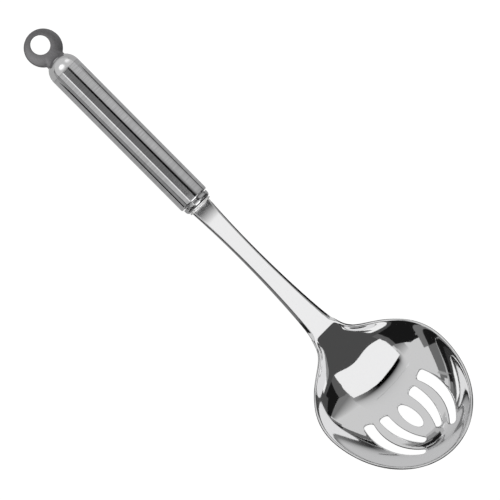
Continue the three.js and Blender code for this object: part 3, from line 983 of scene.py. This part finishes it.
def glowMaterial(name, glow, strength, cover):
    material, tree = newMaterial(name)
    tree.nodes.clear()
    light = nodeIn(tree, "ShaderNodeEmission", {"Strength": glow})
    if strength:
        along, across, _ = partsOf(tree, placeIn(tree))
        feed(tree, light.inputs["Strength"], strength(along - tubeBack, across))
    shown = light.outputs[0]
    if cover:
        clear = outOf(tree, "ShaderNodeBsdfTransparent")
        shown = outOf(tree, "ShaderNodeMixShader", {0: cover(tree), 1: clear, 2: shown})
    nodeIn(tree, "ShaderNodeOutputMaterial", {"Surface": shown})
    return material


def hang(name, glow, corners, strength=None, cover=None, only=False):
    # strength gives a glow that changes over the card, and cover how much of the card is there
    spots = [(tubeBack + x, y, axisHeight + z) for x, y, z in corners]
    panel = newObject(name, spots, faces=[tuple(range(len(spots)))])
    panel.data.materials.append(glowMaterial(name, glow, strength, cover))
    panel.visible_camera = False
    if only:                                   # shows in the metal and does not light the floor
        panel.visible_diffuse = False
        panel.visible_shadow = False


def flatCorners(x, y, z):
    # a card is flat in the direction given as one number
    def around(first, second):
        return [(first[0], second[0]), (first[1], second[0]), (first[1], second[1]), (first[0], second[1])]

    if not isinstance(x, tuple):
        return [(x, *spot) for spot in around(y, z)]
    if not isinstance(y, tuple):
        return [(along, y, up) for along, up in around(x, z)]
    return [(*spot, z) for spot in around(x, y)]


def changing(glow, low, high, end):
    # a glow that changes to another one between two places along the spoon
    return lambda along, across: glow + ((along - low) / (high - low)).clamped() * (end - glow)


# Walls and ceiling of the room, and patches on them: glow, along, across, up
roomAcross = (room["right"], room["left"])
roomCards = {
    "paperCeiling": (paper, (room["back"], 0.42), roomAcross, room["top"]),
    "darkSide": (0.075, (0.42, room["front"]), roomAcross, 0.448),
    "darkWall": (0.06, room["front"], roomAcross, (room["foot"], 0.448)),
    "wallLeft": (0.18, (-0.4, room["front"]), room["left"], (0.3, room["top"])),
    "farWallLeft": (paper, (room["back"], -0.4), room["left"], (0.3, room["top"])),
    "wallRight": (0.18, (-0.3, room["front"]), room["right"], (0.25, room["top"])),
    "farWallRight": (paper, (room["back"], -0.3), room["right"], (0.28, room["top"])),
    "lowWallLeft": (black, (-0.5, room["front"]), room["left"], (room["foot"], 0.3)),
    "lowFarWallLeft": (0.14, (-3.0, -0.5), room["left"], (room["foot"], 0.3)),
    "lowWallRight": (black, (-0.3, room["front"]), room["right"], (room["foot"], 0.25)),
    "lowFarWallRight": (0.16, (-3.0, -0.3), room["right"], (room["foot"], 0.28)),
    "farPaper": (paper, -1.2, (-1.3, 1.6), (room["foot"], 0.12)),
    "edgeGreyRight": (0.2, (0.165, 0.22), (-1.349, -1.22), 0.4455),
    "patchGreyLeft": (0.28, (0.806, 1.126), (0.5, 0.85), 0.44),
    "wallPatchLeft": (white, 1.998, (1.5, 1.85), (0.05, 0.3)),
    "patchLeft": (white, (0.81, 1.9), (0.85, 1.25), 0.44),
}
# cards under the ceiling, cut to shape: glow, height, outline along and across
ceilingSheets = {
    "softbox": (0.97, 0.44, ((0.165, -0.325), (0.129, -0.16), (0.106, 0.0), (0.108, 0.06), (0.13, 0.16),
                             (0.201, 0.338), (0.385, 0.37), (0.59, 0.385), (0.501, 0.08), (0.473, -0.096),
                             (0.462, -0.238), (0.449, -0.325))),
    "flagLeft": (black, 0.446, ((0.375, 0.57), (0.385, 0.6), (0.385, 3.1), (0.62, 3.1), (0.62, 0.57))),
    "flagRight": (black, 0.446, ((0.32, -0.405), (0.276, -0.51), (0.226, -0.62), (0.166, -0.73),
                                 (0.136, -0.95), (0.05, -1.35), (0.75, -1.35), (0.62, -0.405))),
    "flagGreyLeft": (0.11, 0.446, ((0.321, 0.36), (0.321, 0.42), (0.375, 0.57), (0.62, 0.57), (0.62, 0.36))),
    "flagGreyRight": (0.12, 0.446, ((0.329, -0.31), (0.329, -0.385), (0.32, -0.405), (0.62, -0.405),
                                    (0.62, -0.31))),
    "patchRight": (white, 0.44, ((0.77, -0.67), (1.1, -0.67), (1.1, -0.49), (0.886, -0.49), (0.886, -0.385),
                                 (0.77, -0.385))),
}
# paper that turns grey towards the front: along, across, where it turns, and its grey
paperShades = {
    "paperShadeLeft": ((0.06, 0.385), (0.36, 2.6), (0.06, 0.27), 0.2),
    "paperShadeRight": ((0.1, 0.33), (-0.56, -0.36), (0.1, 0.29), 0.25),
}
paperShadeHeight = 0.4475
softboxShade = {"along": (-0.5, 0.25), "across": (-0.37, 0.37), "height": 0.444, "edge": 0.106, "bow": 0.65,
                "black": 0.042, "fade": 0.055, "leftStart": 0.06, "leftSpan": 0.29, "leftFade": 0.45,
                "rightStart": -0.37, "rightSpan": 0.1}


def shadeBySoftbox(along, across):
    # black along a bowed edge, lighter the further from it, and fading to both sides
    shade = softboxShade
    away = along * -1.0 + shade["edge"] + across * across * shade["bow"] - shade["black"]
    dark = (away.done("MAXIMUM", 0.0) / -shade["fade"]).done("EXPONENT")
    left = ((across - shade["leftStart"]) / shade["leftSpan"]).done("MAXIMUM", 0.0)
    right = ((across - shade["rightStart"]) / shade["rightSpan"]).done("MINIMUM", 1.0)
    return (1.0 - dark * (1.0 - left * shade["leftFade"]) * right) * paper


def buildRoom():
    for name, (glow, along, across, up) in roomCards.items():
        hang(name, glow, flatCorners(along, across, up))
    for name, (glow, height, outline) in ceilingSheets.items():
        hang(name, glow, [(*corner, height) for corner in outline])
    for name, (along, across, turn, grey) in paperShades.items():
        hang(name, paper, flatCorners(along, across, paperShadeHeight), changing(paper, *turn, grey))
    shade = softboxShade
    hang("softboxShade", paper, flatCorners(shade["along"], shade["across"], shade["height"]), shadeBySoftbox)
    print("room hung")


# Upright fins to both sides of the spoon: glow, across
finPlace = {"along": 0.1, "up": (-0.009, 0.004)}
fins = {
    "finWhiteRight": (white, (-0.065, -0.02)), "finGreyRight": (0.2, (-0.11, -0.065)),
    "finBlackRight": (black, (-0.4, -0.11)), "finGreyLeft": (0.3, (0.02, 0.1)),
    "finWhiteLeft": (white, (0.1, 0.17)), "finBlackLeft": (black, (0.17, 0.5)),
}
# strips just over the table, beside the spoon and in front of it: glow, along, across
stripHeight = -0.0085
strips = {
    "tubeMatLeft": (0.02, (0.0, 0.105), (0.07, 0.26)),
    "tubeMatRight": (black, (0.0, 0.105), (-0.8, -0.05)),
    "neckMatPale": (0.1, (0.105, 0.125), (0.013, 0.08)),
    "neckMatBlack": (black, (0.125, 0.14), (0.013, 0.03)),
    "flareMatBlack": (black, (0.14, 0.2), (0.013, 0.07)),
    "paperGreyLeft": (0.3, (0.125, 0.14), (0.03, 0.08)),
    "tableLeft": (black, (0.105, 0.2), (0.081, 0.8)),
    "paperDimRight": (0.12, (0.105, 0.149), (-0.085, -0.018)),
    "paperRight": (white, (0.149, 0.175), (-0.085, -0.036)),
    "paperBlackRight": (black, (0.175, 0.19), (-0.085, -0.036)),
    "paperEdgeRight": (0.12, (0.149, 0.19), (-0.036, -0.018)),
    "paperGreyRight": (0.04, (0.105, 0.19), (-0.14, -0.085)),
    "tableRight": (black, (0.105, 0.19), (-0.8, -0.14)),
    "bowlMatLeft": (black, (0.2, 0.45), (0.03, 0.8)),
    "bowlMatRight": (black, (0.19, 0.45), (-0.8, -0.03)),
    "bowlMatFront": (black, (0.292, 0.45), (-0.03, 0.03)),
}
# upright cards that run aslant, by their corners
aslant = {
    "besideRight": (0.36, ((0.112, -0.123, -0.009), (-0.25, -0.47, -0.009), (-0.25, -0.47, 0.14),
                           (0.112, -0.123, 0.037))),
    "besideLeft": (0.5, ((0.112, 0.123, -0.005), (-0.25, 0.47, -0.003), (-0.25, 0.47, 0.1),
                         (0.112, 0.123, 0.026))),
}
ferruleCard = {"glow": 2.6, "corners": ((0.15, -0.021, 0.032), (0.15, 0.012, 0.032), (0.1532, 0.03, 0.094),
                                        (0.1532, -0.055, 0.094))}


def backOnly(tree):
    return nodeIn(tree, "ShaderNodeNewGeometry").outputs["Backfacing"]


def buildNearCards():
    for name, (glow, across) in fins.items():
        hang(name, glow, flatCorners(finPlace["along"], across, finPlace["up"]), only=True)
    for name, (glow, along, across) in strips.items():
        hang(name, glow, flatCorners(along, across, stripHeight), only=True)
    for name, (glow, corners) in aslant.items():
        hang(name, glow, corners, only=True)
    hang("ferruleCard", ferruleCard["glow"], ferruleCard["corners"], cover=backOnly, only=True)
    print("near cards hung")


# Discs over the dome, turned edge on to the front of the bowl: glow, place, radius
bowlFront = Vector((0.27, 0.0, 0.012))
discs = {
    "discLeft": (1.1, Vector((-0.025, 0.028, 0.024)), 0.0163),
    "discRight": (1.6, Vector((-0.018, -0.006, 0.028)), 0.014),
}
discLook = {"corners": 32, "fullness": 1.6}


def roundCover(middle, radius):
    # there in the middle and see-through towards the edge
    def cover(tree):
        spot = (tubeBack + middle.x, middle.y, axisHeight + middle.z)
        apart = nodeIn(tree, "ShaderNodeVectorMath", {0: placeIn(tree), 1: spot}, operation="DISTANCE")
        share = (1.0 - term(tree, apart.outputs["Value"]) / radius).done("MAXIMUM", 0.0)
        return (share * discLook["fullness"]).done("MINIMUM", 1.0)

    return cover


def buildDiscs():
    for name, (glow, middle, radius) in discs.items():
        bowlWay = (bowlFront - middle).normalized()
        side = middle.cross(bowlWay).normalized()
        corners = [middle + (side * math.cos(t) + bowlWay * math.sin(t)) * radius
                   for t in turnsOf(discLook["corners"])]
        hang(name, glow, corners, cover=roundCover(middle, radius))
    print("discs hung")


# Stripes of a visor over the handle: angles from straight above it, glow, back and front. Its plane points
# at the bowl, which therefore sees it edge on, and it turns into the softbox's white at its front
visor = {"bowl": 0.235, "middle": 0.05, "height": 0.3, "turn": (0.106, 0.114), "white": 0.9}
stripes = {
    "visorPale": (-38.5, -32, 1.4, -0.07, 0.114), "visorGrey": (-32, 9.5, 0.22, -0.07, 0.0993),
    "visorWhite": (-32, 10.5, 1.6, 0.0993, 0.1035), "visorDark": (-32, 9.5, 0.07, 0.1035, 0.114),
    "visorBlack": (9.5, 23, 0.005, -0.07, 0.114),
}


def buildVisor():
    for name, (low, high, glow, back, front) in stripes.items():
        corners = []
        for place, degrees in ((back, low), (back, high), (front, high), (front, low)):
            height = visor["height"] * (visor["bowl"] - place) / (visor["bowl"] - visor["middle"])
            corners.append((place, height * math.tan(math.radians(degrees)), height))
        hang(name, glow, corners, changing(glow, *visor["turn"], visor["white"]), only=True)
    print("visor hung")


def whiteWhenSeen(tree, cameraShare, glossyShare):
    # how much of a surface shows as plain white: to the camera, and in metal
    path = nodeIn(tree, "ShaderNodeLightPath")
    camera, glossy, through = (term(tree, path.outputs[f"Is {kind} Ray"])
                               for kind in ("Camera", "Glossy", "Transmission"))
    return (camera.done("MAXIMUM", through) * cameraShare).done("MAXIMUM", glossy * glossyShare)


def buildFloor():
    half = studio["floorSize"] / 2
    floor = newObject("floor", flatCorners((-half, half), (-half, half), 0), faces=[(0, 1, 2, 3)])
    material, tree = newMaterial("paleFloor")
    tree.nodes.clear()
    tone = studio["floorTone"]
    diffuse = outOf(tree, "ShaderNodeBsdfDiffuse", {"Color": (tone, tone, tone, 1)})
    glow = outOf(tree, "ShaderNodeEmission", {
        "Strength": whiteWhenSeen(tree, studio["floorGlow"], studio["floorInMetal"])})
    both = outOf(tree, "ShaderNodeAddShader", {0: diffuse, 1: glow})
    nodeIn(tree, "ShaderNodeOutputMaterial", {"Surface": both})
    floor.data.materials.append(material)


def buildWorld():
    world = bpy.data.worlds.new("whiteRoom")
    scene.world = world
    world.use_nodes = True
    tree = world.node_tree
    background = tree.nodes["Background"].inputs
    background["Color"].default_value = (1, 1, 1, 1)
    seen = whiteWhenSeen(tree, 1.0, 1.0) * (studio["roomSeen"] - studio["roomGlow"])
    feed(tree, background["Strength"], seen + studio["roomGlow"])


buildRoom()
buildNearCards()
buildDiscs()
buildVisor()
buildFloor()
buildWorld()
scene.view_settings.view_transform = "Standard"
